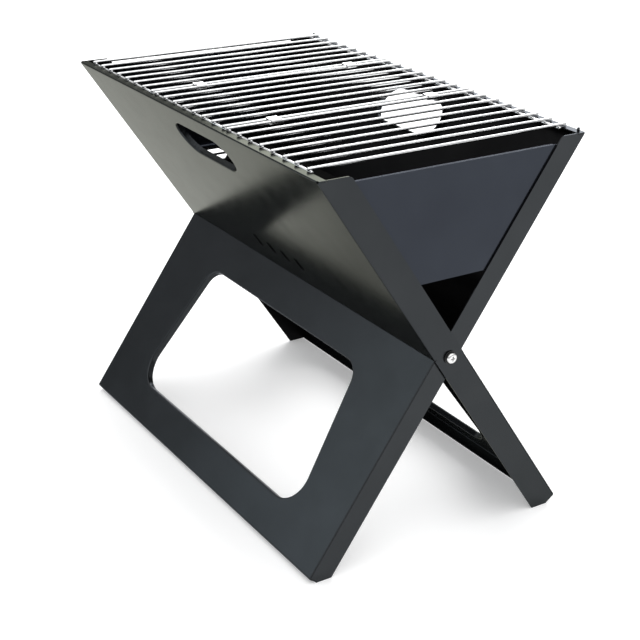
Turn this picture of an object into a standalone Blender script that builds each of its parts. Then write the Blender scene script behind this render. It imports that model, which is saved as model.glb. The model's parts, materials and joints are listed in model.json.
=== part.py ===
"""Folding charcoal camp grill: two crossed sheet-steel frames, a charcoal tray and a three-part grate.

Lengths are millimetres here and metres in the meshes. X runs along the pivot axis, +X towards the
near end, Z is up, and the origin is on the ground below the middle of the grill.
"""

import math

import bmesh
import bpy
from mathutils import Matrix, Vector

MM = 0.001

# Stance
LEAN = math.radians(34.5)
PIVOT_HEIGHT = 190.5
TOP_ABOVE_PIVOT = 183.5

# Sheet and frames; each frame is (half length, half width of its side rails)
SHEET = 1.2
GAP = 0.3
OUTER_HALF_LENGTH = 225.0
OUTER_HALF_WIDTH = 13.45
RAIL_SPACING = 1.4
INNER_HALF_LENGTH = OUTER_HALF_LENGTH - SHEET - RAIL_SPACING
INNER_HALF_WIDTH = 11.45
OUTER_PANEL_START = 8.5
INNER_PANEL_START = 9.5
OUTER_LIP = 9.0
INNER_LIP = 9.5
LEG_LENGTH = 232.0
FOOT_LIP_END = 2.0
CORNER_CUT = 2.0

# Openings in the walls and the leg panels
HANDLE_CENTRE = 189.5
HANDLE_HALF_WIDTH = 48.5
HANDLE_HALF_HEIGHT = 18.5
HANDLE_RIM = 6.0
VENT_COUNT = 4
VENT_PITCH = 25.7
VENT_SHIFT = -7.3
VENT_CENTRE = 42.6
VENT_HALF_LENGTH = 8.2
VENT_HALF_WIDTH = 3.6
VENT_TILT = math.radians(11.0)
WINDOW_TOP = 50.0
WINDOW_BOTTOM = 193.5
WINDOW_TOP_HALF_WIDTH = 138.0
WINDOW_BOTTOM_HALF_WIDTH = 160.0
WINDOW_TOP_RADIUS = 20.0
WINDOW_BOTTOM_RADIUS = 28.0
WINDOW_RIM = 7.0

# Pivot hardware
PIVOT_HOLE_RADIUS = 2.8
SHANK_RADIUS = 2.5
HEAD_RADIUS = 5.2
HEAD_HEIGHT = 3.2
HEAD_ROUNDING = 1.4
RECESS_WIDTH = 1.3
RECESS_LENGTH = 5.2
RECESS_DEPTH = 1.8
WASHER_RADIUS = 6.2
WASHER_THICKNESS = 1.0
NUT_RADIUS = 4.6
NUT_LENGTH = 4.0
NUT_SIDES = 6
THREAD_BEYOND_NUT = 1.5
TIP_CHAMFER = 0.5
CROWN_RISE = 0.2

# Charcoal tray and its end plates, heights counted from the pivot
TRAY_HEIGHT = 75.0
TRAY_HALF_LENGTH = 214.0
TRAY_HEM = 8.0
TRAY_SIDE_GAP = 0.4
TRAY_HOLE_ROWS = (-36.0, 0.0, 36.0)
TRAY_HOLE_COUNT = 20
TRAY_HOLE_PITCH = 21.0
TRAY_HOLE_LENGTH = 17.0
TRAY_HOLE_WIDTH = 18.0
HINGE_X = 217.2
HINGE_ABOVE_TRAY = 0.6
KNUCKLE_RADIUS = 2.2
KNUCKLE_BORE = 1.3
HINGE_PIN_RADIUS = 1.0
MIDDLE_KNUCKLE = 13.5
SIDE_KNUCKLES = (14.0, 34.0)
PIN_HALF_LENGTH = 36.0
PLATE_SHEET = 1.0
PLATE_FACE_X = 220.7
PLATE_BOTTOM = 73.6
PLATE_TOP = 176.5
PLATE_BOTTOM_HALF_WIDTH = 40.0
PLATE_TOP_HALF_WIDTH = 107.5
PLATE_LIP = 2.4
PLATE_LIP_INSET = 3.0

# Grate: rods across the grill in three hinged sections
ROD_RADIUS = 1.5
ROD_ENDS = (-134.2, 137.0)
ROD_PITCH = 18.6
RODS_PER_SECTION = 8
SECTION_GAP = 7.7
GRATE_SHIFT = -4.7
CROSS_WIRE_INSETS = (2.9, 8.6)
CROSS_WIRE_DROP = 2.7
CROSS_WIRE_OVERHANG = 3.0
CLIP_SPREAD = 86.0
CLIP_WIDTH = 11.0
CLIP_SHEET = 0.6
CLIP_CLEARANCE = 0.35
STOP_X = 216.0
STOP_RISE = 3.0
STOP_WIDTH = 2.5
STOP_INSET = 3.0

# How far cutters run past a face, and the step that keeps joined faces out of one plane
CUT_MARGIN = 1.0
JOIN_STEP = 0.1

# Segments of the round shapes
ROUND_STEPS = 20
ROD_STEPS = 10
CORNER_STEPS = 6
HEAD_STEPS = 4
BORE_STEPS = 16
PIN_STEPS = 12
CLIP_STEPS = 10


def clear_scene():
    for old in list(bpy.data.objects):
        bpy.data.objects.remove(old, do_unlink=True)


def make_material(name, colour, metallic, roughness):
    material = bpy.data.materials.new(name)
    material.use_nodes = True
    shader = material.node_tree.nodes["Principled BSDF"]
    shader.inputs["Base Color"].default_value = (*colour, 1.0)
    shader.inputs["Metallic"].default_value = metallic
    shader.inputs["Roughness"].default_value = roughness
    material.diffuse_color = (*colour, 1.0)
    return material


def make_empty(name, location, lean=0.0, parent=None):
    empty = bpy.data.objects.new(name, None)
    empty.location = Vector(location) * MM
    empty.rotation_euler = (lean, 0.0, 0.0)
    empty.parent = parent
    bpy.context.scene.collection.objects.link(empty)
    return empty


def make_object(name, bm, material, parent, smooth=False):
    """The bmesh, in millimetres, as an object in metres under its parent."""
    bmesh.ops.scale(bm, vec=(MM, MM, MM), verts=bm.verts)
    bmesh.ops.recalc_face_normals(bm, faces=bm.faces)
    mesh = bpy.data.meshes.new(name)
    bm.to_mesh(mesh)
    bm.free()
    if smooth:
        mesh.shade_smooth()
        mesh.set_sharp_from_angle(angle=math.radians(40.0))
    obj = bpy.data.objects.new(name, mesh)
    obj.parent = parent
    if material is not None:
        mesh.materials.append(material)
    bpy.context.scene.collection.objects.link(obj)
    return obj


def make_helper(name, bm, parent):
    helper = make_object(name, bm, None, parent)
    helper.hide_render = True
    helper.display_type = "WIRE"
    return helper


def combine(obj, helper, operation):
    modifier = obj.modifiers.new(f"{operation.lower()}_{helper.name}", "BOOLEAN")
    modifier.operation = operation
    modifier.object = helper
    modifier.solver = "EXACT"


def add_prism(bm, outline, axis, start, end):
    """Adds the outline, a list of 2D points, extruded from start to end along x, y or z."""
    place = {
        "x": lambda p, q, along: (along, p, q),
        "y": lambda p, q, along: (p, along, q),
        "z": lambda p, q, along: (p, q, along),
    }[axis]
    first = [bm.verts.new(place(p, q, start)) for p, q in outline]
    last = [bm.verts.new(place(p, q, end)) for p, q in outline]
    bm.faces.new(first)
    bm.faces.new(reversed(last))
    for i in range(len(outline)):
        j = (i + 1) % len(outline)
        bm.faces.new((first[j], first[i], last[i], last[j]))


def prism(outline, axis, start, end):
    bm = bmesh.new()
    add_prism(bm, outline, axis, start, end)
    return bm


def add_box(bm, low, high):
    (x0, y0, z0), (x1, y1, z1) = low, high
    add_prism(bm, [(x0, y0), (x1, y0), (x1, y1), (x0, y1)], "z", z0, z1)


def circle(centre, radius, steps=ROUND_STEPS):
    turns = [2 * math.pi * (i + 0.5) / steps for i in range(steps)]
    return [(centre[0] + radius * math.cos(a), centre[1] + radius * math.sin(a)) for a in turns]


def arc(centre, radius, start, end, steps):
    angles = [start + (end - start) * i / steps for i in range(steps + 1)]
    return [(centre[0] + radius * math.cos(a), centre[1] + radius * math.sin(a)) for a in angles]


def obround(centre, half_length, half_width, tilt=0.0, steps=CORNER_STEPS * 2):
    """A slot with round ends, its length along the first axis and turned by tilt."""
    reach = half_length - half_width
    points = arc((reach, 0), half_width, -math.pi / 2, math.pi / 2, steps)
    points += arc((-reach, 0), half_width, math.pi / 2, 3 * math.pi / 2, steps)
    cos_t, sin_t = math.cos(tilt), math.sin(tilt)
    return [(centre[0] + p * cos_t - q * sin_t, centre[1] + p * sin_t + q * cos_t) for p, q in points]


def rounded(corners, radii):
    """A polygon whose corners are arcs of the given radii."""
    points = []
    count = len(corners)
    for i, radius in enumerate(radii):
        here = Vector(corners[i])
        back = (Vector(corners[i - 1]) - here).normalized()
        ahead = (Vector(corners[(i + 1) % count]) - here).normalized()
        half_angle = back.angle(ahead) / 2
        centre = here + (back + ahead).normalized() * radius / math.sin(half_angle)
        first = here + back * radius / math.tan(half_angle) - centre
        sweep = first.angle_signed(here + ahead * radius / math.tan(half_angle) - centre)
        start = math.atan2(first.y, first.x)
        points += arc(centre, radius, start, start - sweep, CORNER_STEPS)
    return points


def folded_strip(path, thickness):
    """The outline of a sheet folded along a path, with its thickness on the right-hand side."""
    path = [Vector(p) for p in path]
    normals = []
    for here, ahead in zip(path, path[1:]):
        along = (ahead - here).normalized()
        normals.append(Vector((along.y, -along.x)))
    inner = [path[0] + normals[0] * thickness]
    for i in range(1, len(path) - 1):
        mitre = (normals[i - 1] + normals[i]).normalized()
        inner.append(path[i] + mitre * thickness / mitre.dot(normals[i]))
    inner.append(path[-1] + normals[-1] * thickness)
    return [tuple(p) for p in path + inner[::-1]]


def at_height(height, offset):
    """How far along a leaning frame a point at this offset reaches this height above the pivot."""
    return (height - math.sin(LEAN) * offset) / math.cos(LEAN)


def flip(outline, side):
    return [(side * p, q) for p, q in outline]


def wall_inner_y(height, half_width):
    """Distance of a wall's inner face from the middle plane, at a height above the pivot."""
    offset = SHEET - half_width
    return math.sin(LEAN) * at_height(height, offset) - math.cos(LEAN) * offset


def build_wall(name, side, half_length, half_width, start, lip, frame, material):
    """A firebox wall with its lip, hand slot and vents, its outer face at -half_width * side.

    One tool cuts both walls, so the vents lie turned about the vertical from one wall to the other.
    """
    top = at_height(TOP_ABOVE_PIVOT, -half_width)
    lip_end = (-half_width + lip * math.cos(LEAN), top - lip * math.sin(LEAN))
    outline = folded_strip([(-half_width, start), (-half_width, top), lip_end], SHEET)
    wall = make_object(name, prism(flip(outline, side), "x", -half_length, half_length), material, frame)

    slot = (0.0, HANDLE_CENTRE)
    rim_outline = obround(slot, HANDLE_HALF_WIDTH + SHEET, HANDLE_HALF_HEIGHT + SHEET)
    outer, inner = -half_width * side, (HANDLE_RIM - half_width) * side
    buried = (SHEET / 2 - half_width) * side
    rim = make_helper(f"{name}_rim", prism(rim_outline, "y", buried, inner), frame)
    combine(wall, rim, "UNION")

    margin = CUT_MARGIN * side
    slot_outline = obround(slot, HANDLE_HALF_WIDTH, HANDLE_HALF_HEIGHT)
    cuts = prism(slot_outline, "y", outer - margin, inner + margin)
    for i in range(VENT_COUNT):
        centre = (side * VENT_SHIFT + VENT_PITCH * (i - (VENT_COUNT - 1) / 2), VENT_CENTRE)
        turn = math.pi / 2 + side * VENT_TILT
        vent = obround(centre, VENT_HALF_LENGTH, VENT_HALF_WIDTH, turn, CORNER_STEPS)
        add_prism(cuts, vent, "y", outer - margin, outer + SHEET * side + margin)
    combine(wall, make_helper(f"{name}_cuts", cuts, frame), "DIFFERENCE")
    return wall


def window_outline(grow):
    corners = [
        (-WINDOW_TOP_HALF_WIDTH - grow, -WINDOW_TOP + grow),
        (-WINDOW_BOTTOM_HALF_WIDTH - grow, -WINDOW_BOTTOM - grow),
        (WINDOW_BOTTOM_HALF_WIDTH + grow, -WINDOW_BOTTOM - grow),
        (WINDOW_TOP_HALF_WIDTH + grow, -WINDOW_TOP + grow),
    ]
    top, bottom = WINDOW_TOP_RADIUS + grow, WINDOW_BOTTOM_RADIUS + grow
    return rounded(corners, [top, bottom, bottom, top])


def build_leg_panel(name, side, half_length, half_width, start, frame, material):
    """A leg panel with a rimmed window and a folded-in foot. Its outer face is at half_width * side."""
    path = [(FOOT_LIP_END, -LEG_LENGTH), (half_width, -LEG_LENGTH), (half_width, -start)]
    outline = folded_strip(path[::-1], SHEET)
    panel = make_object(name, prism(flip(outline, side), "x", -half_length, half_length), material, frame)

    outer, inner = half_width * side, (half_width - WINDOW_RIM) * side
    buried = (half_width - SHEET / 2) * side
    rim = make_helper(f"{name}_rim", prism(window_outline(SHEET), "y", buried, inner), frame)
    combine(panel, rim, "UNION")
    margin = CUT_MARGIN * side
    cut = prism(window_outline(0.0), "y", outer + margin, inner - margin)
    combine(panel, make_helper(f"{name}_cut", cut, frame), "DIFFERENCE")
    return panel


def build_rail(name, side, outer_x, half_width, start, frame, material):
    """A side rail, stepped in by a sheet where the wall and the leg panel cover its edges."""
    covered = half_width - SHEET - GAP
    below_lip = TOP_ABOVE_PIVOT - SHEET - GAP
    top_in = at_height(TOP_ABOVE_PIVOT, half_width)
    top_out = at_height(below_lip, -covered)
    foot_in = at_height(-PIVOT_HEIGHT, -half_width)
    foot_out = at_height(-PIVOT_HEIGHT, FOOT_LIP_END - GAP)
    lip_top = SHEET + GAP - LEG_LENGTH
    lip_width = OUTER_LIP if side > 0 else INNER_LIP
    step = -covered + (lip_width + GAP - SHEET) * math.cos(LEAN)
    step_top = at_height(TOP_ABOVE_PIVOT, step)
    step_bottom = at_height(below_lip, step)
    outline = [
        (-half_width, foot_in),
        (FOOT_LIP_END - GAP, foot_out),
        (FOOT_LIP_END - GAP, lip_top),
        (covered, lip_top),
        (covered, -start + GAP),
        (half_width, -start + GAP),
        (half_width, top_in - CORNER_CUT),
        (half_width - CORNER_CUT, at_height(TOP_ABOVE_PIVOT, half_width - CORNER_CUT)),
        (step, step_top),
        (step, step_bottom),
        (-covered, top_out),
        (-covered, start - GAP),
        (-half_width, start - GAP),
    ]
    inner_x = outer_x - math.copysign(SHEET, outer_x)
    rail = make_object(name, prism(flip(outline, side), "x", inner_x, outer_x), material, frame)
    margin = math.copysign(CUT_MARGIN, outer_x)
    hole = prism(circle((0, 0), PIVOT_HOLE_RADIUS), "x", inner_x - margin, outer_x + margin)
    combine(rail, make_helper(f"{name}_hole", hole, frame), "DIFFERENCE")
    return rail


def build_frame(prefix, side, half_length, half_width, start, lip, frame, material):
    build_wall(f"{prefix}_wall", side, half_length, half_width, start, lip, frame, material)
    build_leg_panel(f"{prefix}_leg_panel", side, half_length, half_width, start, frame, material)
    for end, sign in (("near", 1), ("far", -1)):
        build_rail(f"{prefix}_rail_{end}", side, sign * half_length, half_width, start, frame, material)


def add_grate_stops(wall, frame):
    """Two tabs standing on the inner wall's lip, just outside the grate's ends."""
    bm = bmesh.new()
    height = PIVOT_HEIGHT + TOP_ABOVE_PIVOT
    along = at_height(TOP_ABOVE_PIVOT, -INNER_HALF_WIDTH)
    stop_y = math.sin(LEAN) * along + math.cos(LEAN) * INNER_HALF_WIDTH - STOP_INSET
    for sign in (1, -1):
        low = (sign * STOP_X - SHEET / 2, stop_y - STOP_WIDTH, height - SHEET / 2)
        high = (sign * STOP_X + SHEET / 2, stop_y, height + STOP_RISE)
        add_box(bm, low, high)
    combine(wall, make_helper("grate_stops", bm, None), "UNION")


def turned(profile, sign):
    """A body turned about the pivot axis, from points (x, radius) at the near end, mirrored by sign."""
    bm = bmesh.new()
    rings = []
    for x, radius in profile:
        if radius == 0:
            rings.append([bm.verts.new((sign * x, 0, 0))])
            continue
        rings.append([bm.verts.new((sign * x, y, z)) for y, z in circle((0, 0), radius)])
    for near, far in zip(rings, rings[1:]):
        for i in range(ROUND_STEPS):
            j = (i + 1) % ROUND_STEPS
            corners = [near[i % len(near)], near[j % len(near)], far[j % len(far)], far[i % len(far)]]
            bm.faces.new(list(dict.fromkeys(corners)))
    return bm


def ring(outer, bore, start, end, sign):
    bm = turned([(start, bore), (start, outer), (end, outer), (end, bore), (start, bore)], sign)
    bmesh.ops.remove_doubles(bm, verts=bm.verts, dist=1e-4)
    return bm


def build_pivot(end, sign, parent, bright, dark):
    """The screw, washers and nut that join the two frames at one end."""
    washer_start = OUTER_HALF_LENGTH + GAP
    washer_end = washer_start + WASHER_THICKNESS
    washer = ring(WASHER_RADIUS, PIVOT_HOLE_RADIUS, washer_start, washer_end, sign)
    make_object(f"pivot_washer_{end}", washer, dark, parent, smooth=True)

    spacer_start = INNER_HALF_LENGTH + GAP
    spacer_end = spacer_start + RAIL_SPACING - 2 * GAP
    spacer = ring(WASHER_RADIUS, PIVOT_HOLE_RADIUS, spacer_start, spacer_end, sign)
    make_object(f"pivot_spacer_{end}", spacer, bright, parent, smooth=True)

    nut_end = INNER_HALF_LENGTH - SHEET - GAP
    nut_start = nut_end - NUT_LENGTH
    nut = prism(circle((0, 0), NUT_RADIUS, NUT_SIDES), "x", sign * nut_start, sign * nut_end)
    nut_object = make_object(f"pivot_nut_{end}", nut, bright, parent)
    bore_span = (sign * (nut_start - CUT_MARGIN), sign * (nut_end + CUT_MARGIN))
    bore = prism(circle((0, 0), PIVOT_HOLE_RADIUS), "x", *bore_span)
    combine(nut_object, make_helper(f"nut_bore_{end}", bore, parent), "DIFFERENCE")

    head = washer_end + GAP
    crown = head + HEAD_HEIGHT
    tip = nut_start - THREAD_BEYOND_NUT
    profile = [
        (tip, 0),
        (tip, SHANK_RADIUS - TIP_CHAMFER),
        (tip + TIP_CHAMFER, SHANK_RADIUS),
        (head, SHANK_RADIUS),
        (head, HEAD_RADIUS),
    ]
    for i in range(HEAD_STEPS + 1):
        turn = math.pi / 2 * i / HEAD_STEPS
        x = crown - HEAD_ROUNDING * (1 - math.sin(turn))
        profile.append((x, HEAD_RADIUS - 2 * HEAD_ROUNDING * (1 - math.cos(turn))))
    profile.append((crown + CROWN_RISE, 0))
    screw = make_object(f"pivot_screw_{end}", turned(profile, sign), bright, parent, smooth=True)
    recess = bmesh.new()
    half, arm = RECESS_WIDTH / 2, RECESS_LENGTH / 2
    cross = [
        (arm, -half), (arm, half), (half, half), (half, arm), (-half, arm), (-half, half),
        (-arm, half), (-arm, -half), (-half, -half), (-half, -arm), (half, -arm), (half, -half),
    ]
    add_prism(recess, cross, "x", sign * (crown - RECESS_DEPTH), sign * (crown + CUT_MARGIN))
    combine(screw, make_helper(f"screw_recess_{end}", recess, parent), "DIFFERENCE")


def build_tray(parent, material):
    """The perforated charcoal tray, its hems lying along the two walls."""
    left = wall_inner_y(TRAY_HEIGHT, OUTER_HALF_WIDTH) - TRAY_SIDE_GAP / math.cos(LEAN)
    right = wall_inner_y(TRAY_HEIGHT, INNER_HALF_WIDTH) - TRAY_SIDE_GAP / math.cos(LEAN)
    hem_in, hem_down = TRAY_HEM * math.sin(LEAN), TRAY_HEM * math.cos(LEAN)
    path = [(-left + hem_in, -hem_down), (-left, 0.0), (right, 0.0), (right - hem_in, -hem_down)]
    outline = folded_strip(path, SHEET)
    sheet = prism(outline, "x", -TRAY_HALF_LENGTH, TRAY_HALF_LENGTH)
    tray = make_object("charcoal_tray", sheet, material, parent)

    side_spans = [SIDE_KNUCKLES, (-SIDE_KNUCKLES[1], -SIDE_KNUCKLES[0])]
    barrels = bmesh.new()
    for sign in (1, -1):
        hinge = (sign * HINGE_X, HINGE_ABOVE_TRAY)
        for start, end in side_spans:
            add_prism(barrels, circle(hinge, KNUCKLE_RADIUS), "y", start, end)
    combine(tray, make_helper("tray_barrels", barrels, parent), "UNION")

    tabs = bmesh.new()
    for sign in (1, -1):
        inner, outer = sorted((sign * (TRAY_HALF_LENGTH - CUT_MARGIN), sign * HINGE_X))
        for start, end in side_spans:
            low = (inner, start + 2 * JOIN_STEP, JOIN_STEP - SHEET)
            high = (outer, end - 2 * JOIN_STEP, -JOIN_STEP)
            add_box(tabs, low, high)
    combine(tray, make_helper("tray_tabs", tabs, parent), "UNION")

    cuts = bmesh.new()
    bore_end = SIDE_KNUCKLES[1] + CUT_MARGIN
    for sign in (1, -1):
        hinge = (sign * HINGE_X, HINGE_ABOVE_TRAY)
        add_prism(cuts, circle(hinge, KNUCKLE_BORE, BORE_STEPS), "y", -bore_end, bore_end)
    for row in TRAY_HOLE_ROWS:
        for i in range(TRAY_HOLE_COUNT):
            x = TRAY_HOLE_PITCH * (i - (TRAY_HOLE_COUNT - 1) / 2)
            low = (x - TRAY_HOLE_LENGTH / 2, row - TRAY_HOLE_WIDTH / 2, -2 * SHEET)
            high = (x + TRAY_HOLE_LENGTH / 2, row + TRAY_HOLE_WIDTH / 2, SHEET)
            add_box(cuts, low, high)
    combine(tray, make_helper("tray_cuts", cuts, parent), "DIFFERENCE")


def build_end_plate(end, sign, tray, sheet_material, pin_material):
    """An end plate on its own hinge line, with the pin that carries it."""
    hinge = make_empty(f"end_hinge_{end}", (sign * HINGE_X, 0, HINGE_ABOVE_TRAY), parent=tray)
    base = TRAY_HEIGHT + HINGE_ABOVE_TRAY
    bottom, top = PLATE_BOTTOM - base, PLATE_TOP - base
    face = sign * (PLATE_FACE_X - HINGE_X)
    back = face - sign * PLATE_SHEET
    outline = [
        (-PLATE_BOTTOM_HALF_WIDTH, bottom),
        (PLATE_BOTTOM_HALF_WIDTH, bottom),
        (PLATE_TOP_HALF_WIDTH, top),
        (-PLATE_TOP_HALF_WIDTH, top),
    ]
    plate = make_object(f"end_plate_{end}", prism(outline, "x", back, face), sheet_material, hinge)

    lip = bmesh.new()
    low_x, high_x = sorted((face - sign * 2 * JOIN_STEP, back - sign * PLATE_LIP))
    half = PLATE_TOP_HALF_WIDTH - PLATE_LIP_INSET
    add_box(lip, (low_x, -half, top - PLATE_SHEET), (high_x, half, top - JOIN_STEP))
    combine(plate, make_helper(f"plate_lip_{end}", lip, hinge), "UNION")

    curl = prism(circle((0, 0), KNUCKLE_RADIUS), "y", -MIDDLE_KNUCKLE, MIDDLE_KNUCKLE)
    combine(plate, make_helper(f"plate_curl_{end}", curl, hinge), "UNION")
    foot = bmesh.new()
    low_x, high_x = sorted((0.0, face - sign * 2 * JOIN_STEP))
    half = MIDDLE_KNUCKLE - 2 * JOIN_STEP
    low_z, high_z = JOIN_STEP - KNUCKLE_RADIUS, -KNUCKLE_BORE - JOIN_STEP
    add_box(foot, (low_x, -half, low_z), (high_x, half, high_z))
    combine(plate, make_helper(f"plate_foot_{end}", foot, hinge), "UNION")
    bore_end = MIDDLE_KNUCKLE + CUT_MARGIN
    bore = prism(circle((0, 0), KNUCKLE_BORE, BORE_STEPS), "y", -bore_end, bore_end)
    combine(plate, make_helper(f"plate_bore_{end}", bore, hinge), "DIFFERENCE")

    pin_outline = circle((0, 0), HINGE_PIN_RADIUS, PIN_STEPS)
    pin = prism(pin_outline, "y", -PIN_HALF_LENGTH, PIN_HALF_LENGTH)
    make_object(f"end_hinge_pin_{end}", pin, pin_material, hinge, smooth=True)


def section_rods():
    """The rods' places along X, section by section from the far end."""
    width = ROD_PITCH * (RODS_PER_SECTION - 1)
    start = GRATE_SHIFT - (3 * width + 2 * SECTION_GAP) / 2
    sections = []
    for i in range(3):
        first = start + i * (width + SECTION_GAP)
        sections.append([first + ROD_PITCH * j for j in range(RODS_PER_SECTION)])
    return sections


def build_grate_section(name, rods, hinge_x, parent, material):
    """One welded section: rods across the grill on two cross wires, with its origin on a hinge rod."""
    pivot = make_empty(f"{name}_hinge", (hinge_x, 0, 0), parent=parent)
    bm = bmesh.new()
    for x in rods:
        add_prism(bm, circle((x - hinge_x, 0), ROD_RADIUS, ROD_STEPS), "y", *ROD_ENDS)
    section = make_object(name, bm, material, pivot, smooth=True)
    wires = bmesh.new()
    start = rods[0] - hinge_x - CROSS_WIRE_OVERHANG
    end = rods[-1] - hinge_x + CROSS_WIRE_OVERHANG
    for y in (ROD_ENDS[0] + CROSS_WIRE_INSETS[0], ROD_ENDS[1] - CROSS_WIRE_INSETS[1]):
        add_prism(wires, circle((y, -CROSS_WIRE_DROP), ROD_RADIUS, ROD_STEPS), "x", start, end)
    combine(section, make_helper(f"{name}_wires", wires, pivot), "UNION")


def build_clips(sections, parent, material):
    """Four sheet clips, each wrapped round the two neighbouring rods of a hinge."""
    middle = (ROD_ENDS[0] + ROD_ENDS[1]) / 2
    inner = ROD_RADIUS + CLIP_CLEARANCE
    outer = inner + CLIP_SHEET
    for hinge, (left, right) in (("far", sections[:2]), ("near", sections[1:])):
        centre = ((left[-1] + right[0]) / 2, 0)
        reach = (right[0] - left[-1]) / 2
        for place, offset in (("left", -CLIP_SPREAD), ("right", CLIP_SPREAD)):
            y0, y1 = middle + offset - CLIP_WIDTH / 2, middle + offset + CLIP_WIDTH / 2
            shell = prism(obround(centre, reach + outer, outer, steps=CLIP_STEPS), "y", y0, y1)
            clip = make_object(f"grate_clip_{hinge}_{place}", shell, material, parent, smooth=True)
            hollow_outline = obround(centre, reach + inner, inner, steps=CLIP_STEPS)
            hollow = prism(hollow_outline, "y", y0 - CUT_MARGIN, y1 + CUT_MARGIN)
            combine(clip, make_helper(f"clip_hollow_{hinge}_{place}", hollow, parent), "DIFFERENCE")


def main():
    clear_scene()
    coated = make_material("powder_coated_steel", (0.035, 0.037, 0.040), 0.55, 0.42)
    inner_coated = make_material("inner_powder_coated_steel", (0.035, 0.037, 0.040), 0.55, 0.42)
    tray_coated = make_material("tray_steel", (0.030, 0.031, 0.033), 0.5, 0.5)
    plate_coated = make_material("end_plate_steel", (0.045, 0.048, 0.055), 0.5, 0.42)
    chrome = make_material("chromed_wire", (0.80, 0.80, 0.80), 1.0, 0.12)
    clip_steel = make_material("clip_steel", (0.62, 0.62, 0.62), 1.0, 0.25)
    zinc = make_material("plated_hardware", (0.66, 0.66, 0.66), 1.0, 0.2)
    dark = make_material("blackened_washer", (0.04, 0.04, 0.04), 0.8, 0.4)

    outer = make_empty("outer_frame_axis", (0, 0, PIVOT_HEIGHT), LEAN)
    inner = make_empty("inner_frame_axis", (0, 0, PIVOT_HEIGHT), -LEAN)
    outer_sizes = (OUTER_HALF_LENGTH, OUTER_HALF_WIDTH, OUTER_PANEL_START, OUTER_LIP)
    inner_sizes = (INNER_HALF_LENGTH, INNER_HALF_WIDTH, INNER_PANEL_START, INNER_LIP)
    build_frame("outer", 1, *outer_sizes, outer, coated)
    build_frame("inner", -1, *inner_sizes, inner, inner_coated)
    add_grate_stops(bpy.data.objects["inner_wall"], inner)

    pivot = make_empty("pivot_axis", (0, 0, PIVOT_HEIGHT))
    for end, sign in (("near", 1), ("far", -1)):
        build_pivot(end, sign, pivot, zinc, dark)

    tray = make_empty("tray_level", (0, 0, PIVOT_HEIGHT + TRAY_HEIGHT))
    build_tray(tray, tray_coated)
    for end, sign in (("near", 1), ("far", -1)):
        build_end_plate(end, sign, tray, plate_coated, zinc)

    rod_height = PIVOT_HEIGHT + TOP_ABOVE_PIVOT + GAP + ROD_RADIUS
    grate = make_empty("grate_level", (0, 0, rod_height))
    sections = section_rods()
    build_grate_section("grate_far", sections[0], sections[0][-1], grate, chrome)
    build_grate_section("grate_middle", sections[1], 0.0, grate, chrome)
    build_grate_section("grate_near", sections[2], sections[2][0], grate, chrome)
    build_clips(sections, grate, clip_steel)


main()
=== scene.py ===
import json
import math

import bmesh
import bpy
from mathutils import Matrix, Vector

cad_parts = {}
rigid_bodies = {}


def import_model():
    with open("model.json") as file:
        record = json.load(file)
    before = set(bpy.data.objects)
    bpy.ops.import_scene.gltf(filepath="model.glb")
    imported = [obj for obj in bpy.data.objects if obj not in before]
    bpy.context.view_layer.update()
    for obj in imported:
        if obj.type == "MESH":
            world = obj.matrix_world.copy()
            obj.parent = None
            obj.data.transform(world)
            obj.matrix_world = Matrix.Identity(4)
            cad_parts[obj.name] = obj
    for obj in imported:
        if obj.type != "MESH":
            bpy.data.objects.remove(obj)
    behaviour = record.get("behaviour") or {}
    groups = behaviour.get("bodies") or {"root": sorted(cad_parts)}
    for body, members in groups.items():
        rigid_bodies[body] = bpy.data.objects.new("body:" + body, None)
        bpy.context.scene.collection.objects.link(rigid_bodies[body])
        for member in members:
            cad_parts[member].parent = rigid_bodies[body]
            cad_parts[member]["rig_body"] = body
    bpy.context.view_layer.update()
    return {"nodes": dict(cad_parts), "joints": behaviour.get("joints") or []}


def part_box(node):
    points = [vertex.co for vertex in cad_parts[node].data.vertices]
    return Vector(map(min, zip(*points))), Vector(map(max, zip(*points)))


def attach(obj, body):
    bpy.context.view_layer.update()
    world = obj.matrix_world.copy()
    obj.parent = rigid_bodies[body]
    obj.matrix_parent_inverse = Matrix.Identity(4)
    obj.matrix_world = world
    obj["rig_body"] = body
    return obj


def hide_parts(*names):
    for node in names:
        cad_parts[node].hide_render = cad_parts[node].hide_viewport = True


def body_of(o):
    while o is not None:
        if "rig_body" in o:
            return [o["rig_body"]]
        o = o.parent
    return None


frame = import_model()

MM = 0.001

# Read from the frame, in millimetres
JOINTS = {joint["name"]: joint for joint in frame["joints"]}
PIVOT_HEIGHT = JOINTS["frame_fold"]["pos_m"][2] / MM
OUTER_HALF_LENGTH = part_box("outer_rail_near")[1].x / MM
INNER_HALF_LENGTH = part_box("inner_rail_near")[1].x / MM
TOP_ABOVE_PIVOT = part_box("outer_wall")[1].z / MM - PIVOT_HEIGHT

# Folded sheet
LEAN = math.radians(34.5)
SHEET = 1.2
SEAM = 0.15
OUTER_HALF_WIDTH = 13.45
INNER_HALF_WIDTH = 11.45
OUTER_LIP = 9.0
INNER_LIP = 9.5
OUTER_PANEL_START = 8.5
INNER_PANEL_START = 9.5
LEG_LENGTH = 232.0
FOOT_LIP_END = 2.0
CORNER_CUT = 2.0
BEND_RADIUS = 1.9
LIP_RADIUS = 0.9
RIM_RADIUS = 1.7
RELIEF = 0.5
BEND_STEPS = 6

# Material slots of a sheet. Its inner faces move on by one slot, and the inside coat is the last one: a
# near-black coat that paints shade on the inside faces and the vent rims.
OUTSIDE_LOOK = 0
INSIDE_SHADE_LOOK = 1

# Soft edges and shading
SHEET_BEVEL = (0.45, 3)
CLIP_BEVEL = (0.15, 2)
STOP_BEVEL = (0.25, 2)
PLATE_BEVEL = (0.25, 2)
PIN_BEVEL = (0.15, 2)
NUT_BEVEL = (0.3, 2)
BEVEL_ANGLE = math.radians(50.0)
SMOOTH_ANGLE = math.radians(35.0)
SHEET_MERGE = 0.01
LATHE_MERGE = 0.001

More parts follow.
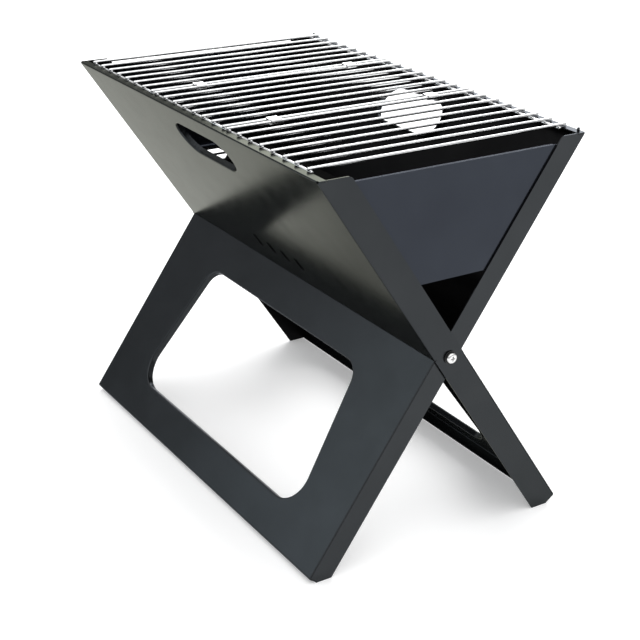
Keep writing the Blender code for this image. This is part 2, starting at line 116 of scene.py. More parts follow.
# Openings
HANDLE_CENTRE = 189.5
HANDLE_HALF_SIZE = (48.5, 18.5)
HANDLE_RIM = 6.0
HANDLE_STEPS = 20
VENT_COUNT = 4
VENT_PITCH = 25.7
VENT_SHIFT = -7.3
VENT_CENTRE = 42.6
VENT_HALF_SIZE = (8.2, 3.6)
VENT_TILT = math.radians(11.0)
VENT_RIM = 2.6
VENT_RIM_RADIUS = 0.3
WINDOW_TOP = 50.0
WINDOW_BOTTOM = 193.5
WINDOW_TOP_HALF_WIDTH = 138.0
WINDOW_BOTTOM_HALF_WIDTH = 160.0
WINDOW_TOP_RADIUS = 20.0
WINDOW_BOTTOM_RADIUS = 28.0
WINDOW_RIM = 7.0
CORNER_STEPS = 12

# Pivot hardware
PIVOT_HOLE_RADIUS = 2.8
PIVOT_HOLE_STEPS = 32
SHANK_RADIUS = 2.5
TIP_RADIUS = 1.9
TIP_LENGTH = 0.4
THREAD_PITCH = 0.8
THREAD_DEPTH = 0.3
PLAIN_SHANK = 5.0
HEAD_GAP = 0.3
HEAD_RADIUS = 5.2
HEAD_CHAMFER = 0.3
HEAD_SIDE = 0.5
CROWN_RADIUS = 3.1
CROWN_STEPS = 8
RECESS_ARM = 2.5
RECESS_HALF_WIDTH = 0.7
RECESS_DEPTH = 1.8
RECESS_TAPER = 0.6
WASHER_RADIUS = 6.2
WASHER_SOFTNESS = 0.2
LATHE_STEPS = 56

# Grate
ROD_RADIUS = 1.5
ROD_CENTRE_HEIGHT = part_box("grate_middle")[1].z / MM - ROD_RADIUS
ROD_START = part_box("grate_middle")[0].y / MM
ROD_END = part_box("grate_middle")[1].y / MM
ROD_PITCH = 18.6
RODS_PER_SECTION = 8
WIRE_OVERHANG = 3.0
WIRE_INSETS = (2.9, 8.6)
WIRE_DROP = 2.7
WIRE_STEPS = 20
END_ROUNDING = 0.9
END_STEPS = 3
WELD_SIZE = (1.6, 1.6, 0.7)
WELD_DETAIL = 2
CLIP_SHEET = 0.6
CLIP_CLEARANCE = 0.35
CLIP_PINCH = 0.7
CLIP_SEAM = 0.5
CLIP_STEPS = 12
STOP_X = 216.0
STOP_WIDTH = 2.5
STOP_INSET = 3.0
STOP_RISE = 3.0
STOP_ROUNDING = 0.8
STOP_FOOT_ROUNDING = 0.2
STOP_STEPS = 6


# ---------------------------------------------------------------- shapes

def arc(centre, radius, start, end, steps):
    angles = [start + (end - start) * i / steps for i in range(steps + 1)]
    return [(centre[0] + radius * math.cos(a), centre[1] + radius * math.sin(a)) for a in angles]


def circle(centre, radius, steps):
    return arc(centre, radius, 0.0, 2 * math.pi, steps)[:-1]


def obround(centre, half_length, half_width, tilt=0.0, steps=CORNER_STEPS):
    """A slot with round ends, its length along the first axis and turned by tilt."""
    reach = half_length - half_width
    points = arc((reach, 0), half_width, -math.pi / 2, math.pi / 2, steps)
    points += arc((-reach, 0), half_width, math.pi / 2, 3 * math.pi / 2, steps)
    cos_t, sin_t = math.cos(tilt), math.sin(tilt)
    return [(centre[0] + p * cos_t - q * sin_t, centre[1] + p * sin_t + q * cos_t) for p, q in points]


def rounded(corners, radii, steps=CORNER_STEPS):
    """A polygon whose corners are arcs of the given radii."""
    points = []
    count = len(corners)
    for i, radius in enumerate(radii):
        here = Vector(corners[i])
        back = (Vector(corners[i - 1]) - here).normalized()
        ahead = (Vector(corners[(i + 1) % count]) - here).normalized()
        half_angle = back.angle(ahead) / 2
        centre = here + (back + ahead).normalized() * radius / math.sin(half_angle)
        first = here + back * radius / math.tan(half_angle) - centre
        sweep = first.angle_signed(here + ahead * radius / math.tan(half_angle) - centre)
        start = math.atan2(first.y, first.x)
        points += arc(centre, radius, start, start - sweep, steps)
    return points


def at_height(height, offset):
    """How far along a leaning frame a point at this offset reaches this height above the pivot."""
    return (height - math.sin(LEAN) * offset) / math.cos(LEAN)


def add_loop(bm, points):
    verts = [bm.verts.new(p) for p in points]
    return [bm.edges.new((verts[i - 1], verts[i])) for i in range(len(verts))]


def add_flat(bm, loops):
    """A flat face bounded by its first loop, with the others as holes."""
    edges = [edge for loop in loops for edge in add_loop(bm, loop)]
    bmesh.ops.triangle_fill(bm, use_beauty=True, use_dissolve=False, edges=edges)


def add_strip(bm, first, last, closed=False, look=OUTSIDE_LOOK):
    """Quads between two rows of points."""
    a = [bm.verts.new(p) for p in first]
    b = [bm.verts.new(p) for p in last]
    for i in range(0 if closed else 1, len(a)):
        bm.faces.new((a[i - 1], a[i], b[i], b[i - 1])).material_index = look


def add_rim(bm, outline, place, radius, depth, look=OUTSIDE_LOOK):
    """The rounded-in edge of an opening, whose outline grows by a given amount at a given depth."""
    turns = [math.pi / 2 * i / BEND_STEPS for i in range(BEND_STEPS + 1)]
    rows = [(radius * (1 - math.sin(t)), radius * (1 - math.cos(t))) for t in turns] + [(0.0, depth)]
    for (grow, down), (next_grow, next_down) in zip(rows, rows[1:]):
        first = [place(p, q, down) for p, q in outline(grow)]
        last = [place(p, q, next_down) for p, q in outline(next_grow)]
        add_strip(bm, first, last, closed=True, look=look)


def finish_mesh(name, bm, material, body, matrix=Matrix.Identity(4)):
    mesh = bpy.data.meshes.new(name)
    bm.to_mesh(mesh)
    bm.free()
    mesh.shade_smooth()
    mesh.set_sharp_from_angle(angle=SMOOTH_ANGLE)
    mesh.materials.append(material)
    obj = bpy.data.objects.new(name, mesh)
    bpy.context.scene.collection.objects.link(obj)
    mesh.transform(Matrix.Diagonal((MM, MM, MM, 1.0)) @ matrix)
    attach(obj, body)
    return obj


def add_bevel(obj, width, segments):
    bevel = obj.modifiers.new("soft_edges", "BEVEL")
    bevel.width = width * MM
    bevel.segments = segments
    bevel.limit_method = "ANGLE"
    bevel.angle_limit = BEVEL_ANGLE
    bevel.use_clamp_overlap = True
    weighted = obj.modifiers.new("flat_faces", "WEIGHTED_NORMAL")
    weighted.keep_sharp = True


def add_thickness(obj, thickness, offset):
    solidify = obj.modifiers.new("sheet", "SOLIDIFY")
    solidify.thickness = thickness * MM
    solidify.offset = offset
    solidify.use_even_offset = True
    return solidify


def sheet_object(name, bm, outward, material, body, matrix, inside=None):
    """A folded sheet from its outer surface, with a near-black coat of painted shade on its inside faces if
    one is given.

    outward is (a point near the surface, the direction it faces there).
    """
    bmesh.ops.remove_doubles(bm, verts=bm.verts, dist=SHEET_MERGE)
    bmesh.ops.recalc_face_normals(bm, faces=bm.faces)
    point, direction = Vector(outward[0]), Vector(outward[1])
    nearest = min(bm.faces, key=lambda f: (f.calc_center_median() - point).length)
    if nearest.normal.dot(direction) < 0:
        bmesh.ops.reverse_faces(bm, faces=bm.faces)
    obj = finish_mesh(name, bm, material, body, matrix)
    solidify = add_thickness(obj, SHEET, -1.0)
    if inside is not None:
        obj.data.materials.append(inside)
        solidify.material_offset = INSIDE_SHADE_LOOK
    add_bevel(obj, *SHEET_BEVEL)
    return obj


# ---------------------------------------------------------------- materials

# Noise as (scale, detail), bumps as (distance, strength)
COAT_CLOUDS = (14.0, 3.0)
COAT_PEEL = (620.0, 1.0)
COAT_GRAIN = (2600.0, 2.0)
COAT_SHEEN = (45.0, 4.0)
PEEL_BUMP = (0.00004, 0.10)
GRAIN_BUMP = (0.00001, 0.12)
COAT_METALLIC = 0.85
METAL_STREAKS = (420.0, 3.0)
METAL_CLOUDS = (60.0, 3.0)
STREAK_BUMP = (0.00003, 0.25)
NOISE_RANGE = (0.3, 0.7)


def new_material(name):
    material = bpy.data.materials.new(name)
    material.use_nodes = True
    nodes = material.node_tree.nodes
    coordinates = nodes.new("ShaderNodeTexCoord")
    links = material.node_tree.links
    return material, nodes, links, nodes["Principled BSDF"], coordinates.outputs["Object"]


def add_noise(nodes, links, vector, scale, detail, stretch=None):
    if stretch is not None:
        mapping = nodes.new("ShaderNodeMapping")
        mapping.inputs["Scale"].default_value = stretch
        links.new(vector, mapping.inputs["Vector"])
        vector = mapping.outputs["Vector"]
    noise = nodes.new("ShaderNodeTexNoise")
    noise.inputs["Scale"].default_value = scale
    noise.inputs["Detail"].default_value = detail
    links.new(vector, noise.inputs["Vector"])
    return noise.outputs["Fac"]


def add_range(nodes, links, value, low, high):
    node = nodes.new("ShaderNodeMapRange")
    limits = zip(("From Min", "From Max", "To Min", "To Max"), (*NOISE_RANGE, low, high))
    for socket, limit in limits:
        node.inputs[socket].default_value = limit
    links.new(value, node.inputs["Value"])
    return node.outputs["Result"]


def add_colours(nodes, links, value, low, high):
    ramp = nodes.new("ShaderNodeValToRGB")
    for element, position, colour in zip(ramp.color_ramp.elements, NOISE_RANGE, (low, high)):
        element.position = position
        element.color = (*colour, 1.0)
    links.new(value, ramp.inputs["Fac"])
    return ramp.outputs["Color"]


def add_bump(nodes, links, height, distance, strength, below=None):
    bump = nodes.new("ShaderNodeBump")
    bump.inputs["Distance"].default_value = distance
    bump.inputs["Strength"].default_value = strength
    links.new(height, bump.inputs["Height"])
    if below is not None:
        links.new(below, bump.inputs["Normal"])
    return bump.outputs["Normal"]


def powder_coat(name, dark, light, roughness, edge):
    """Satin powder coat: cloudy tone, the slight waviness of orange peel and a fine grain.

    The colours are how much it reflects face on, and edge is its tone at a glancing angle.
    """
    material, nodes, links, shader, where = new_material(name)
    clouds = add_noise(nodes, links, where, *COAT_CLOUDS)
    peel = add_noise(nodes, links, where, *COAT_PEEL)
    grain = add_noise(nodes, links, where, *COAT_GRAIN)
    sheen = add_noise(nodes, links, where, *COAT_SHEEN)
    links.new(add_colours(nodes, links, clouds, dark, light), shader.inputs["Base Color"])
    links.new(add_range(nodes, links, sheen, *roughness), shader.inputs["Roughness"])
    wavy = add_bump(nodes, links, peel, *PEEL_BUMP)
    links.new(add_bump(nodes, links, grain, *GRAIN_BUMP, wavy), shader.inputs["Normal"])
    shader.inputs["Metallic"].default_value = COAT_METALLIC
    shader.inputs["Specular Tint"].default_value = (*edge, 1.0)
    return material


def bright_metal(name, dark, light, roughness, stretch):
    """Plated metal with faint drawing lines, drawn out by stretch, and a cloudy polish."""
    material, nodes, links, shader, where = new_material(name)
    streaks = add_noise(nodes, links, where, *METAL_STREAKS, stretch)
    clouds = add_noise(nodes, links, where, *METAL_CLOUDS)
    links.new(add_colours(nodes, links, clouds, dark, light), shader.inputs["Base Color"])
    links.new(add_range(nodes, links, streaks, *roughness), shader.inputs["Roughness"])
    links.new(add_bump(nodes, links, streaks, *STREAK_BUMP), shader.inputs["Normal"])
    shader.inputs["Metallic"].default_value = 1.0
    return material


WARM_EDGE = (0.47, 0.475, 0.43)
COOL_EDGE = (0.47, 0.48, 0.50)
DIM_EDGE = (0.30, 0.30, 0.30)
OUTER_COAT = powder_coat(
    "outer_powder_coat", (0.029, 0.032, 0.035), (0.035, 0.038, 0.041), (0.17, 0.21), WARM_EDGE
)
INNER_COAT = powder_coat(
    "inner_powder_coat", (0.033, 0.036, 0.038), (0.039, 0.042, 0.045), (0.20, 0.25), COOL_EDGE
)
PLATE_COAT = powder_coat(
    "end_plate_coat", (0.029, 0.033, 0.042), (0.034, 0.039, 0.049), (0.20, 0.26), COOL_EDGE
)
# Near-black coat for the inside faces and vent rims of the wall sheets: painted shade, standing in for the
# shade inside the firebox and in the vents.
INSIDE_SHADE_COAT = powder_coat(
    "inside_shade_coat", (0.0070, 0.0070, 0.0075), (0.010, 0.010, 0.0105), (0.30, 0.40), DIM_EDGE
)
TRAY_COAT = powder_coat(
    "tray_coat", (0.012, 0.012, 0.012), (0.018, 0.018, 0.018), (0.42, 0.55), DIM_EDGE
)
WIRE_CHROME = bright_metal(
    "wire_chrome", (0.74, 0.75, 0.76), (0.84, 0.84, 0.84), (0.07, 0.16), (1.0, 0.05, 1.0)
)
CLIP_STEEL = bright_metal(
    "clip_plating", (0.66, 0.66, 0.67), (0.78, 0.78, 0.78), (0.12, 0.24), (0.3, 1.0, 1.0)
)
HARDWARE_ZINC = bright_metal(
    "hardware_plating", (0.68, 0.68, 0.68), (0.80, 0.80, 0.79), (0.12, 0.24), (1.0, 1.0, 1.0)
)
WASHER_DARK = powder_coat(
    "washer_black", (0.030, 0.030, 0.030), (0.045, 0.045, 0.045), (0.25, 0.35), COOL_EDGE
)


# ---------------------------------------------------------------- frames

def window_outline(grow):
    corners = [
        (-WINDOW_TOP_HALF_WIDTH - grow, -WINDOW_TOP + grow),
        (-WINDOW_BOTTOM_HALF_WIDTH - grow, -WINDOW_BOTTOM - grow),
        (WINDOW_BOTTOM_HALF_WIDTH + grow, -WINDOW_BOTTOM - grow),
        (WINDOW_TOP_HALF_WIDTH + grow, -WINDOW_TOP + grow),
    ]
    top, bottom = WINDOW_TOP_RADIUS + grow, WINDOW_BOTTOM_RADIUS + grow
    return rounded(corners, [top, bottom, bottom, top])


def handle_outline(grow):
    half_length, half_width = HANDLE_HALF_SIZE
    return obround((0.0, HANDLE_CENTRE), half_length + grow, half_width + grow, steps=HANDLE_STEPS)


def vent_outline(centre, tilt):
    """The outline of one vent, as a function of how much it grows."""
    half_length, half_width = VENT_HALF_SIZE
    return lambda grow: obround(centre, half_length + grow, half_width + grow, tilt)


def build_firebox_sheet(prefix, side, half_length, half_width, start, lip, body, matrix, material):
    """A wall, its lip and both side rails, folded from one sheet.

    side is 1 for the outer frame and -1 for the inner one. In the names below, o is the offset across the
    leaning frame and s the distance along it from the pivot.
    """
    bm = bmesh.new()
    lip_turn = math.pi / 2 + LEAN
    corner = at_height(TOP_ABOVE_PIVOT, -half_width)
    wall_top = corner - LIP_RADIUS * math.tan(lip_turn / 2)
    flat_half = half_length - BEND_RADIUS
    lip_half = flat_half - RELIEF
    bend_top = wall_top - RELIEF

    outline = [(-flat_half, start), (flat_half, start), (flat_half, bend_top), (flat_half, wall_top)]
    outline += [(lip_half, wall_top), (-lip_half, wall_top), (-flat_half, wall_top), (-flat_half, bend_top)]
    holes = [handle_outline(RIM_RADIUS)]

    def turned_in(p, q, down):
        return p, (down - half_width) * side, q

    for i in range(VENT_COUNT):
        centre = (side * VENT_SHIFT + VENT_PITCH * (i - (VENT_COUNT - 1) / 2), VENT_CENTRE)
        vent = vent_outline(centre, math.pi / 2 + side * VENT_TILT)
        holes.append(vent(VENT_RIM_RADIUS))
        # The vent rims take the near-black inside coat: painted shade in the vents.
        add_rim(bm, vent, turned_in, VENT_RIM_RADIUS, VENT_RIM, INSIDE_SHADE_LOOK)
    add_flat(bm, [[(p, -half_width * side, q) for p, q in loop] for loop in [outline] + holes])
    add_rim(bm, handle_outline, turned_in, RIM_RADIUS, HANDLE_RIM)

    bend = arc((LIP_RADIUS - half_width, wall_top), LIP_RADIUS, math.pi, math.pi - lip_turn, 2 * BEND_STEPS)
    rows = [[(x, o * side, s) for o, s in bend] for x in (-lip_half, lip_half)]
    add_strip(bm, *rows)
    along = Vector((math.cos(LEAN), -math.sin(LEAN)))
    begin, edge = Vector(bend[-1]), Vector((-half_width, corner)) + along * lip
    widening = begin + along * SHEET / 2
    lip_end = half_length - SEAM
    lip_outline = [(-lip_half, begin), (-lip_half, widening), (-lip_end, widening), (-lip_end, edge)]
    lip_outline += [(-x, point) for x, point in lip_outline[::-1]]
    add_flat(bm, [[(x, point.x * side, point.y) for x, point in lip_outline]])

    step = -half_width + (lip + SEAM) * math.cos(LEAN)
    under_lip = TOP_ABOVE_PIVOT - SHEET - SEAM
    edge_o = BEND_RADIUS - half_width
    covered = half_width - SHEET - SEAM
    foot_panel_top = SHEET + SEAM - LEG_LENGTH
    rail = [
        (edge_o, start),
        (edge_o, start - RELIEF),
        (-half_width, start - RELIEF),
        (-half_width, at_height(-PIVOT_HEIGHT, -half_width)),
        (FOOT_LIP_END - SEAM, at_height(-PIVOT_HEIGHT, FOOT_LIP_END - SEAM)),
        (FOOT_LIP_END - SEAM, foot_panel_top),
        (covered, foot_panel_top),
        (covered, -start + SEAM),
        (half_width, -start + SEAM),
        (half_width, at_height(TOP_ABOVE_PIVOT, half_width) - CORNER_CUT),
        (half_width - CORNER_CUT, at_height(TOP_ABOVE_PIVOT, half_width - CORNER_CUT)),
        (step, at_height(TOP_ABOVE_PIVOT, step)),
        (step, at_height(under_lip, step)),
        (edge_o, at_height(under_lip, edge_o)),
        (edge_o, bend_top),
    ]
    hole = circle((0.0, 0.0), PIVOT_HOLE_RADIUS, PIVOT_HOLE_STEPS)
    for sign in (1, -1):
        add_flat(bm, [[(sign * half_length, o * side, s) for o, s in loop] for loop in (rail, hole)])
        turn = arc((flat_half, edge_o), BEND_RADIUS, -math.pi / 2, 0.0, BEND_STEPS)
        rows = [[(sign * x, o * side, s) for x, o in turn] for s in (start, bend_top)]
        add_strip(bm, *rows)
    outward = ((0.0, -half_width * side, VENT_CENTRE * 2), (0.0, -side, 0.0))
    # The inside faces take the near-black coat of painted shade.
    return sheet_object(f"{prefix}_firebox_sheet", bm, outward, material, body, matrix, INSIDE_SHADE_COAT)


def build_leg_sheet(prefix, side, half_length, half_width, start, body, matrix, material):
    """A leg panel with its rimmed window and the foot folded in under it."""
    def turned_in(p, q, down):
        return p, (half_width - down) * side, q

    bm = bmesh.new()
    bend_end = BEND_RADIUS - LEG_LENGTH
    outline = [
        (-half_length, bend_end),
        (half_length, bend_end),
        (half_length, -start),
        (-half_length, -start),
    ]
    loops = [outline, window_outline(RIM_RADIUS)]
    add_flat(bm, [[(p, half_width * side, q) for p, q in loop] for loop in loops])
    add_rim(bm, window_outline, turned_in, RIM_RADIUS, WINDOW_RIM)
    turn = arc((half_width - BEND_RADIUS, bend_end), BEND_RADIUS, 0.0, -math.pi / 2, BEND_STEPS)
    turn.append((FOOT_LIP_END, -LEG_LENGTH))
    rows = [[(x, o * side, s) for o, s in turn] for x in (-half_length, half_length)]
    add_strip(bm, *rows)
    outward = ((0.0, half_width * side, -WINDOW_TOP / 2), (0.0, side, 0.0))
    return sheet_object(f"{prefix}_leg_sheet", bm, outward, material, body, matrix)


def build_frames():
    parts = (
        ("outer", 1, OUTER_HALF_LENGTH, OUTER_HALF_WIDTH, OUTER_PANEL_START, OUTER_LIP, OUTER_COAT),
        ("inner", -1, INNER_HALF_LENGTH, INNER_HALF_WIDTH, INNER_PANEL_START, INNER_LIP, INNER_COAT),
    )
    for prefix, side, half_length, half_width, start, lip, material in parts:
        matrix = Matrix.Translation((0, 0, PIVOT_HEIGHT)) @ Matrix.Rotation(side * LEAN, 4, "X")
        shape = (prefix, side, half_length, half_width, start)
        setting = (f"{prefix}_frame", matrix, material)
        firebox = build_firebox_sheet(*shape, lip, *setting)
        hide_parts(f"{prefix}_wall", f"{prefix}_rail_near", f"{prefix}_rail_far")
        leg = build_leg_sheet(*shape, *setting)
        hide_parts(f"{prefix}_leg_panel")


# ---------------------------------------------------------------- grate

def add_turned(bm, profile, axis, centre, steps):
    """A surface turned about the x or y axis through centre, from points (along, radius)."""
    place = {
        "x": lambda along, p, q: (along, centre[1] + p, centre[2] + q),
        "y": lambda along, p, q: (centre[0] + p, along, centre[2] + q),
    }[axis]
    rings = []
    for along, radius in profile:
        points = circle((0.0, 0.0), radius, steps) if radius else [(0.0, 0.0)]
        rings.append([bm.verts.new(place(along, p, q)) for p, q in points])
    for near, far in zip(rings, rings[1:]):
        for i in range(steps):
            j = (i + 1) % steps
            corners = (near[i % len(near)], near[j % len(near)], far[j % len(far)], far[i % len(far)])
            bm.faces.new(list(dict.fromkeys(corners)))


def add_wire(bm, axis, start, end, centre):
    """A drawn wire whose cut ends are slightly rounded."""
    turns = [math.pi / 2 * (1 - i / END_STEPS) for i in range(END_STEPS + 1)]
    flat_radius = ROD_RADIUS - END_ROUNDING
    nose = [(END_ROUNDING * (1 - math.sin(t)), flat_radius + END_ROUNDING * math.cos(t)) for t in turns]
    profile = [(start, 0.0)] + [(start + along, radius) for along, radius in nose]
    profile += [(end - along, radius) for along, radius in nose[::-1]] + [(end, 0.0)]
    add_turned(bm, profile, axis, centre, WIRE_STEPS)


def add_weld(bm, centre):
    matrix = Matrix.Translation(centre) @ Matrix.Diagonal((*WELD_SIZE, 1.0))
    bmesh.ops.create_icosphere(bm, subdivisions=WELD_DETAIL, radius=1.0, matrix=matrix)


def build_grate_section(name, material):
    """Rods welded across two wires."""
    node_low, node_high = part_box(name)
    wire_start, wire_end = node_low.x / MM, node_high.x / MM
    first_rod = wire_start + WIRE_OVERHANG
    bm = bmesh.new()
    wire_lines = (ROD_START + WIRE_INSETS[0], ROD_END - WIRE_INSETS[1])
    for y in wire_lines:
        add_wire(bm, "x", wire_start, wire_end, (0.0, y, ROD_CENTRE_HEIGHT - WIRE_DROP))
    for i in range(RODS_PER_SECTION):
        x = first_rod + ROD_PITCH * i
        add_wire(bm, "y", ROD_START, ROD_END, (x, 0.0, ROD_CENTRE_HEIGHT))
        for y in wire_lines:
            add_weld(bm, (x, y, ROD_CENTRE_HEIGHT - WIRE_DROP / 2))
    bmesh.ops.recalc_face_normals(bm, faces=bm.faces)
    section = finish_mesh(f"{name}_wires", bm, material, body_of(frame["nodes"][name])[0])
    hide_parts(name)


def build_clip(name, material):
    """A strip of sheet wrapped round two rods, pinched between them, its ends meeting underneath."""
    low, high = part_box(name)
    middle = (low.x + high.x) / 2 / MM
    inner = ROD_RADIUS + CLIP_CLEARANCE
    reach = (high.x - low.x) / 2 / MM - inner - CLIP_SHEET
    right = arc((reach, 0.0), inner, -math.pi / 2, math.pi / 2, CLIP_STEPS)
    left = [(-p, q) for p, q in right[::-1]]
    path = [(CLIP_SEAM / 2, -inner)] + right + [(0.0, inner - CLIP_PINCH)] + left
    path.append((-CLIP_SEAM / 2, -inner))
    rows = [[(middle + p, y / MM, ROD_CENTRE_HEIGHT + q) for p, q in path] for y in (low.y, high.y)]
    bm = bmesh.new()
    add_strip(bm, *rows)
    bmesh.ops.recalc_face_normals(bm, faces=bm.faces)
    edge_face = max(bm.faces, key=lambda f: f.calc_center_median().x)
    if edge_face.normal.x < 0:
        bmesh.ops.reverse_faces(bm, faces=bm.faces)
    clip = finish_mesh(f"{name}_strip", bm, material, body_of(frame["nodes"][name])[0])
    add_thickness(clip, CLIP_SHEET, 1.0)
    add_bevel(clip, *CLIP_BEVEL)
    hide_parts(name)


def build_stop(end, sign, material):
    """A tab standing on the inner frame's lip beside the grate."""
    along = at_height(TOP_ABOVE_PIVOT, -INNER_HALF_WIDTH)
    lip_outer = math.sin(LEAN) * along + math.cos(LEAN) * INNER_HALF_WIDTH
    back = lip_outer - STOP_INSET
    front = back - STOP_WIDTH
    foot = PIVOT_HEIGHT + TOP_ABOVE_PIVOT - SHEET / 2
    top = PIVOT_HEIGHT + TOP_ABOVE_PIVOT + STOP_RISE
    corners = [(front, foot), (back, foot), (back, top), (front, top)]
    radii = [STOP_FOOT_ROUNDING, STOP_FOOT_ROUNDING, STOP_ROUNDING, STOP_ROUNDING]
    outline = rounded(corners, radii, STOP_STEPS)
    bm = bmesh.new()
    face = sign * STOP_X + SHEET / 2
    add_flat(bm, [[(face, y, z) for y, z in outline]])
    bmesh.ops.recalc_face_normals(bm, faces=bm.faces)
    if next(iter(bm.faces)).normal.x < 0:
        bmesh.ops.reverse_faces(bm, faces=bm.faces)
    stop = finish_mesh(f"grate_stop_{end}", bm, material, "inner_frame")
    add_thickness(stop, SHEET, -1.0)
    add_bevel(stop, *STOP_BEVEL)


# ---------------------------------------------------------------- pivot hardware

def node_reach(node):
    """The nearest and farthest distance of a node from the middle, along the pivot axis."""
    return sorted(abs(corner.x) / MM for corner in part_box(node))


def turn_on_pivot(bm, profile, sign):
    signed = [(sign * along, radius) for along, radius in profile]
    add_turned(bm, signed, "x", (0.0, 0.0, PIVOT_HEIGHT), LATHE_STEPS)


def finish_turned(name, bm, material, node):
    bmesh.ops.remove_doubles(bm, verts=bm.verts, dist=LATHE_MERGE)
    bmesh.ops.recalc_face_normals(bm, faces=bm.faces)
    piece = finish_mesh(name, bm, material, body_of(frame["nodes"][node])[0])
    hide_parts(node)


def build_washer(kind, end, sign, material):
    node = f"pivot_{kind}_{end}"
    start, finish = node_reach(node)
    soft = (finish - start) * WASHER_SOFTNESS
    profile = [
        (start, PIVOT_HOLE_RADIUS),
        (start, WASHER_RADIUS - soft),
        (start + soft, WASHER_RADIUS),
        (finish - soft, WASHER_RADIUS),
        (finish, WASHER_RADIUS - soft),
        (finish, PIVOT_HOLE_RADIUS + soft),
        (finish - soft, PIVOT_HOLE_RADIUS),
        (start, PIVOT_HOLE_RADIUS),
    ]
    bm = bmesh.new()
    turn_on_pivot(bm, profile, sign)
    finish_turned(f"{node}_ring", bm, material, node)


def build_screw(end, sign, material):
    """A pan-head screw with a cross recess, its thread cut as close rings."""
    node = f"pivot_screw_{end}"
    tip, crown = node_reach(node)
    under_head = node_reach(f"pivot_washer_{end}")[1] + HEAD_GAP
    rounding = crown - under_head - HEAD_SIDE
    profile = [(tip, 0.0), (tip, TIP_RADIUS)]
    x = tip + TIP_LENGTH
    while x < under_head - PLAIN_SHANK:
        profile += [(x, SHANK_RADIUS), (x + THREAD_PITCH / 2, SHANK_RADIUS - THREAD_DEPTH)]
        x += THREAD_PITCH
    profile += [(x, SHANK_RADIUS), (under_head, SHANK_RADIUS)]
    profile += [(under_head, HEAD_RADIUS - HEAD_CHAMFER), (under_head + HEAD_CHAMFER, HEAD_RADIUS)]
    for i in range(CROWN_STEPS + 1):
        turn = math.pi / 2 * i / CROWN_STEPS
        radius = CROWN_RADIUS + (HEAD_RADIUS - CROWN_RADIUS) * math.cos(turn)
        profile.append((under_head + HEAD_SIDE + rounding * math.sin(turn), radius))
    bm = bmesh.new()
    turn_on_pivot(bm, profile, sign)

    arm, half = RECESS_ARM, RECESS_HALF_WIDTH
    cross = [
        (arm, -half), (arm, half), (half, half), (half, arm), (-half, arm), (-half, half),
        (-arm, half), (-arm, -half), (-half, -half), (-half, -arm), (half, -arm), (half, -half),
    ]
    rim = circle((0.0, 0.0), CROWN_RADIUS, LATHE_STEPS)
    loops = [[(sign * crown, p, PIVOT_HEIGHT + q) for p, q in loop] for loop in (rim, cross)]
    add_flat(bm, loops)
    floor_x = sign * (crown - RECESS_DEPTH)
    floor = [(floor_x, p * RECESS_TAPER, PIVOT_HEIGHT + q * RECESS_TAPER) for p, q in cross]
    add_strip(bm, loops[1], floor, closed=True)
    add_flat(bm, [floor])
    finish_turned(f"{node}_turned", bm, material, node)


# ---------------------------------------------------------------- what keeps its CAD shape

def dress_nodes():
    looks = {"charcoal_tray": (TRAY_COAT, PLATE_BEVEL)}
    for end in ("near", "far"):
        looks[f"end_plate_{end}"] = (PLATE_COAT, PLATE_BEVEL)
        looks[f"end_hinge_pin_{end}"] = (HARDWARE_ZINC, PIN_BEVEL)
        looks[f"pivot_nut_{end}"] = (HARDWARE_ZINC, NUT_BEVEL)
    for name, (material, bevel) in looks.items():
        node = frame["nodes"][name]
        node.data.materials.clear()
        node.data.materials.append(material)
        add_bevel(node, *bevel)


# ---------------------------------------------------------------- camera, light and floor

CAMERA_AZIMUTH = math.radians(-33.230)
CAMERA_ELEVATION = math.radians(23.937)
CAMERA_ROLL = math.radians(1.223)
CAMERA_DISTANCE = 1.37662
CAMERA_RIGHT = 0.007996
CAMERA_UP = -0.046455
CAMERA_LENS = 77.30
CAMERA_SENSOR = 36.0

# (height of the direction, tone) of the tent
TENT_LOW = (0.0, (0.24, 0.25, 0.26, 1.0))
TENT_MIDDLE = (0.35, (0.56, 0.56, 0.57, 1.0))
TENT_HIGH = (0.8, (1.38, 1.38, 1.38, 1.0))

# (name, place, target, size, power, colour)
SOFTBOXES = (
    ("back_light", (-1.9, 2.1, 1.45), (0, 0, 0.3), (2.2, 1.5), 50.0, (1.0, 1.0, 1.0)),
    ("side_light", (-1.62, -2.31, 1.03), (0, 0, 0.2), (1.5, 1.1), 6.0, (0.82, 0.94, 1.0)),
    ("top_light", (0.2, 0.3, 2.6), (0, 0, 0.2), (1.8, 1.8), 8.0, (1.0, 1.0, 1.0)),
)

FLOOR_HALF_SIZE = 12.0
FLOOR_CLOUDS = (3.0, 2.0)
FLOOR_TONES = ((0.86, 0.86, 0.86), (0.88, 0.88, 0.88))
FLOOR_ROUGHNESS = 0.7
FLOOR_SPECULAR = 0.2
FLOOR_GLOW = 0.30


def build_camera():
    cos_e = math.cos(CAMERA_ELEVATION)
    back = Vector((
        cos_e * math.cos(CAMERA_AZIMUTH),
        cos_e * math.sin(CAMERA_AZIMUTH),
        math.sin(CAMERA_ELEVATION),
    ))
    level = Vector((-math.sin(CAMERA_AZIMUTH), math.cos(CAMERA_AZIMUTH), 0.0))
    upright = back.cross(level)
    right = level * math.cos(CAMERA_ROLL) + upright * math.sin(CAMERA_ROLL)
    up = upright * math.cos(CAMERA_ROLL) - level * math.sin(CAMERA_ROLL)
    pivot = Vector((0, 0, PIVOT_HEIGHT * MM))
    place = pivot + back * CAMERA_DISTANCE + right * CAMERA_RIGHT + up * CAMERA_UP
    data = bpy.data.cameras.new("camera")
    data.lens = CAMERA_LENS
    data.sensor_width = CAMERA_SENSOR
    camera = bpy.data.objects.new("camera", data)
    columns = Matrix((right, up, back)).transposed().to_4x4()
    camera.matrix_world = Matrix.Translation(place) @ columns
    bpy.context.scene.collection.objects.link(camera)
    bpy.context.scene.camera = camera


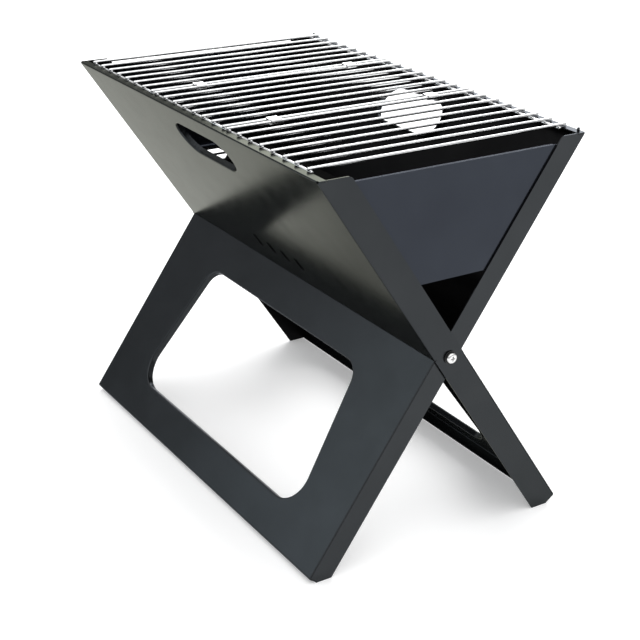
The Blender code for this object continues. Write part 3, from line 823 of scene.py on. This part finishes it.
def build_world():
    """A white tent: bright above, dimmer at the horizon."""
    world = bpy.data.worlds.new("studio")
    world.use_nodes = True
    nodes, links = world.node_tree.nodes, world.node_tree.links
    direction = nodes.new("ShaderNodeTexCoord")
    parts = nodes.new("ShaderNodeSeparateXYZ")
    links.new(direction.outputs["Generated"], parts.inputs["Vector"])
    ramp = nodes.new("ShaderNodeValToRGB")
    for element, (height, tone) in zip(ramp.color_ramp.elements, (TENT_LOW, TENT_HIGH)):
        element.position = height
        element.color = tone
    ramp.color_ramp.elements.new(TENT_MIDDLE[0]).color = TENT_MIDDLE[1]
    links.new(parts.outputs["Z"], ramp.inputs["Fac"])
    links.new(ramp.outputs["Color"], nodes["Background"].inputs["Color"])
    bpy.context.scene.world = world


def build_softbox(name, place, target, size, power, colour):
    data = bpy.data.lights.new(name, "AREA")
    data.shape = "RECTANGLE"
    data.size, data.size_y = size
    data.energy = power
    data.color = colour
    light = bpy.data.objects.new(name, data)
    light.location = place
    light.rotation_euler = (Vector(target) - Vector(place)).to_track_quat("-Z", "Y").to_euler()
    bpy.context.scene.collection.objects.link(light)


def build_floor():
    """Pale ground that glows a little, so that it stays white where the light is weak."""
    bm = bmesh.new()
    bmesh.ops.create_grid(bm, x_segments=1, y_segments=1, size=FLOOR_HALF_SIZE)
    mesh = bpy.data.meshes.new("floor")
    bm.to_mesh(mesh)
    bm.free()
    material, nodes, links, shader, where = new_material("floor_pale")
    clouds = add_noise(nodes, links, where, *FLOOR_CLOUDS)
    links.new(add_colours(nodes, links, clouds, *FLOOR_TONES), shader.inputs["Base Color"])
    shader.inputs["Roughness"].default_value = FLOOR_ROUGHNESS
    shader.inputs["Specular IOR Level"].default_value = FLOOR_SPECULAR
    shader.inputs["Emission Color"].default_value = (1.0, 1.0, 1.0, 1.0)
    shader.inputs["Emission Strength"].default_value = FLOOR_GLOW
    material.cycles.emission_sampling = "NONE"
    mesh.materials.append(material)
    floor = bpy.data.objects.new("floor", mesh)
    bpy.context.scene.collection.objects.link(floor)


build_frames()
for section in ("grate_far", "grate_middle", "grate_near"):
    build_grate_section(section, WIRE_CHROME)
for hinge in ("far", "near"):
    for place in ("left", "right"):
        build_clip(f"grate_clip_{hinge}_{place}", CLIP_STEEL)
for end, sign in (("near", 1), ("far", -1)):
    build_stop(end, sign, INNER_COAT)
    build_washer("washer", end, sign, WASHER_DARK)
    build_washer("spacer", end, sign, HARDWARE_ZINC)
    build_screw(end, sign, HARDWARE_ZINC)
dress_nodes()
build_camera()
build_world()
build_floor()
for softbox in SOFTBOXES:
    build_softbox(*softbox)
bpy.context.scene.view_settings.view_transform = "Standard"
